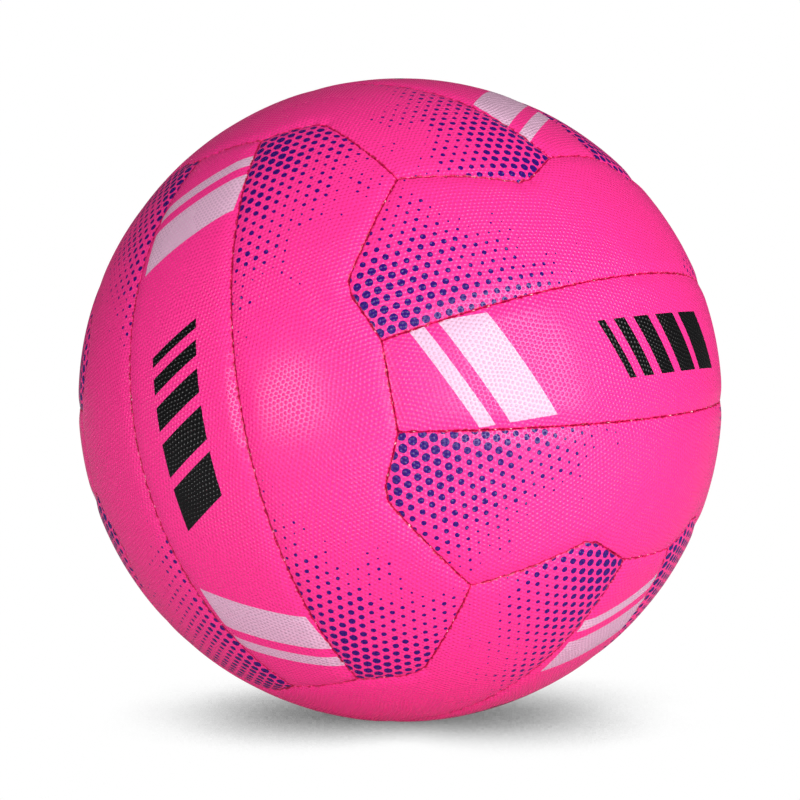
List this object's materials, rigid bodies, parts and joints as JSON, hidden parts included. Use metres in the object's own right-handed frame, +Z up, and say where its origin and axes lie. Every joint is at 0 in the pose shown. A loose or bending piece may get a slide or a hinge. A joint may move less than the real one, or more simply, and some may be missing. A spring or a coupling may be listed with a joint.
{
  "type": "netball",
  "caption": "Round ball of pebbled rubber strips stitched in groups of three over cloth linings, with a bladder inside and a valve that takes an inflating needle.",
  "frame": {"origin": "centre of the ball", "axes": "+Z is up as the ball lies in the picture, and the picture is taken from -Y, with +X to the right"},
  "size_m": [0.222, 0.222, 0.222],
  "materials": {
    "cover_rubber": "pebbled, semi-matt, printed",
    "lining_cloth": "woven, latex coated",
    "waxed_thread": "waxed polyester",
    "bladder_rubber": "smooth, matt",
    "patch_rubber": "cloth backed, matt",
    "valve_rubber": "moulded, satin"
  },
  "bodies": {
    "ball": {"bladder": "bladder_rubber", "cover_back_left": "cover_rubber", "cover_back_middle": "cover_rubber", "cover_back_right": "cover_rubber", "cover_bottom_back": "cover_rubber", "cover_bottom_front": "cover_rubber", "cover_bottom_middle": "cover_rubber", "cover_front_left": "cover_rubber", "cover_front_middle": "cover_rubber", "cover_front_right": "cover_rubber", "cover_left_bottom": "cover_rubber", "cover_left_middle": "cover_rubber", "cover_left_top": "cover_rubber", "cover_right_bottom": "cover_rubber", "cover_right_middle": "cover_rubber", "cover_right_top": "cover_rubber", "cover_top_back": "cover_rubber", "cover_top_front": "cover_rubber", "cover_top_middle": "cover_rubber", "edge_thread_back_bottom": "waxed_thread", "edge_thread_back_top": "waxed_thread", "edge_thread_bottom_left": "waxed_thread", "edge_thread_bottom_right": "waxed_thread", "edge_thread_front_bottom": "waxed_thread", "edge_thread_front_top": "waxed_thread", "edge_thread_left_back": "waxed_thread", "edge_thread_left_front": "waxed_thread", "edge_thread_right_back": "waxed_thread", "edge_thread_right_front": "waxed_thread", "edge_thread_top_left": "waxed_thread", "edge_thread_top_right": "waxed_thread", "lining_back_left": "lining_cloth", "lining_back_middle": "lining_cloth", "lining_back_right": "lining_cloth", "lining_bottom_back": "lining_cloth", "lining_bottom_front": "lining_cloth", "lining_bottom_middle": "lining_cloth", "lining_front_left": "lining_cloth", "lining_front_middle": "lining_cloth", "lining_front_right": "lining_cloth", "lining_left_bottom": "lining_cloth", "lining_left_middle": "lining_cloth", "lining_left_top": "lining_cloth", "lining_right_bottom": "lining_cloth", "lining_right_middle": "lining_cloth", "lining_right_top": "lining_cloth", "lining_top_back": "lining_cloth", "lining_top_front": "lining_cloth", "lining_top_middle": "lining_cloth", "strip_thread_back": "waxed_thread", "strip_thread_bottom": "waxed_thread", "strip_thread_front": "waxed_thread", "strip_thread_left": "waxed_thread", "strip_thread_right": "waxed_thread", "strip_thread_top": "waxed_thread", "valve_housing": "valve_rubber", "valve_patch": "patch_rubber"},
    "valve_plug": {"valve_core": "valve_rubber"}
  },
  "joints": [
    {"name": "valve_core_pull", "type": "slide", "parent": "ball", "child": "valve_plug", "axis": [-0.7733, 0.5934, -0.2233], "range_m": [0, 0.02]}
  ]
}
